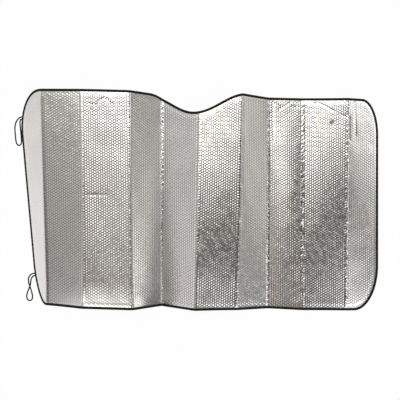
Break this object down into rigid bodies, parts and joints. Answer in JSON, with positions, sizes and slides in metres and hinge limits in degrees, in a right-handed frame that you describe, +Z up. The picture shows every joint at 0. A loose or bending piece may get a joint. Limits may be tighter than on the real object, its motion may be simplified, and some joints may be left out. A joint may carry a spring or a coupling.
{
  "type": "windscreen sunshade",
  "caption": "Pleated foil-faced bubble-film windscreen sunshade with a mirror dip, dark fabric edge binding, elastic closing loops and a clear suction cup, lying half open with the foil up.",
  "frame": {"origin": "on the floor under the middle of the shade's box, the free elastic loops left out", "axes": "+X along the shade's width to the right-hand end as seen from the foil side, +Y from the bottom edge to the top edge with the mirror dip, +Z up out of the foil side"},
  "size_m": [1.3848, 0.8294, 0.0999],
  "materials": {
    "foil": "metallised film over bubble wrap, satin bright",
    "binding": "woven polyester tape, matt near-black",
    "elastic": "flat braided elastic, matt black",
    "clear_plastic": "clear soft moulded plastic, glossy"
  },
  "bodies": {
    "root": {"sunshade_sheet": "foil", "edge_binding": "binding", "elastic_loop_upper": "elastic", "elastic_loop_lower": "elastic", "suction_cup": "clear_plastic"}
  },
  "joints": []
}
